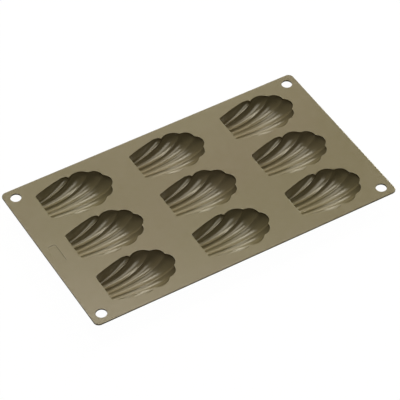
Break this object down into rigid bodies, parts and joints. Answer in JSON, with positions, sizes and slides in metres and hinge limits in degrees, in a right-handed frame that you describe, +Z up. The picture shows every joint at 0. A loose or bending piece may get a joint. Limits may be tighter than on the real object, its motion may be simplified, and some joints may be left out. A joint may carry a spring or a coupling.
{
  "type": "silicone madeleine mould",
  "caption": "Flexible rectangular baking mould with a grid of fluted shell-shaped madeleine cups hung from a flat sheet with corner holes.",
  "frame": {"origin": "centre of the mould's footprint, on the surface that its cups rest on", "axes": "+X along the long side towards the cups' scalloped ends, +Y across, +Z up out of the cups' mouths"},
  "size_m": [0.3, 0.175, 0.0152],
  "materials": {
    "silicone": "satin olive-grey silicone rubber"
  },
  "bodies": {
    "root": {"mould_sheet": "silicone", "cup_front_left": "silicone", "cup_front_centre": "silicone", "cup_front_right": "silicone", "cup_middle_left": "silicone", "cup_middle_centre": "silicone", "cup_middle_right": "silicone", "cup_back_left": "silicone", "cup_back_centre": "silicone", "cup_back_right": "silicone"}
  },
  "joints": []
}
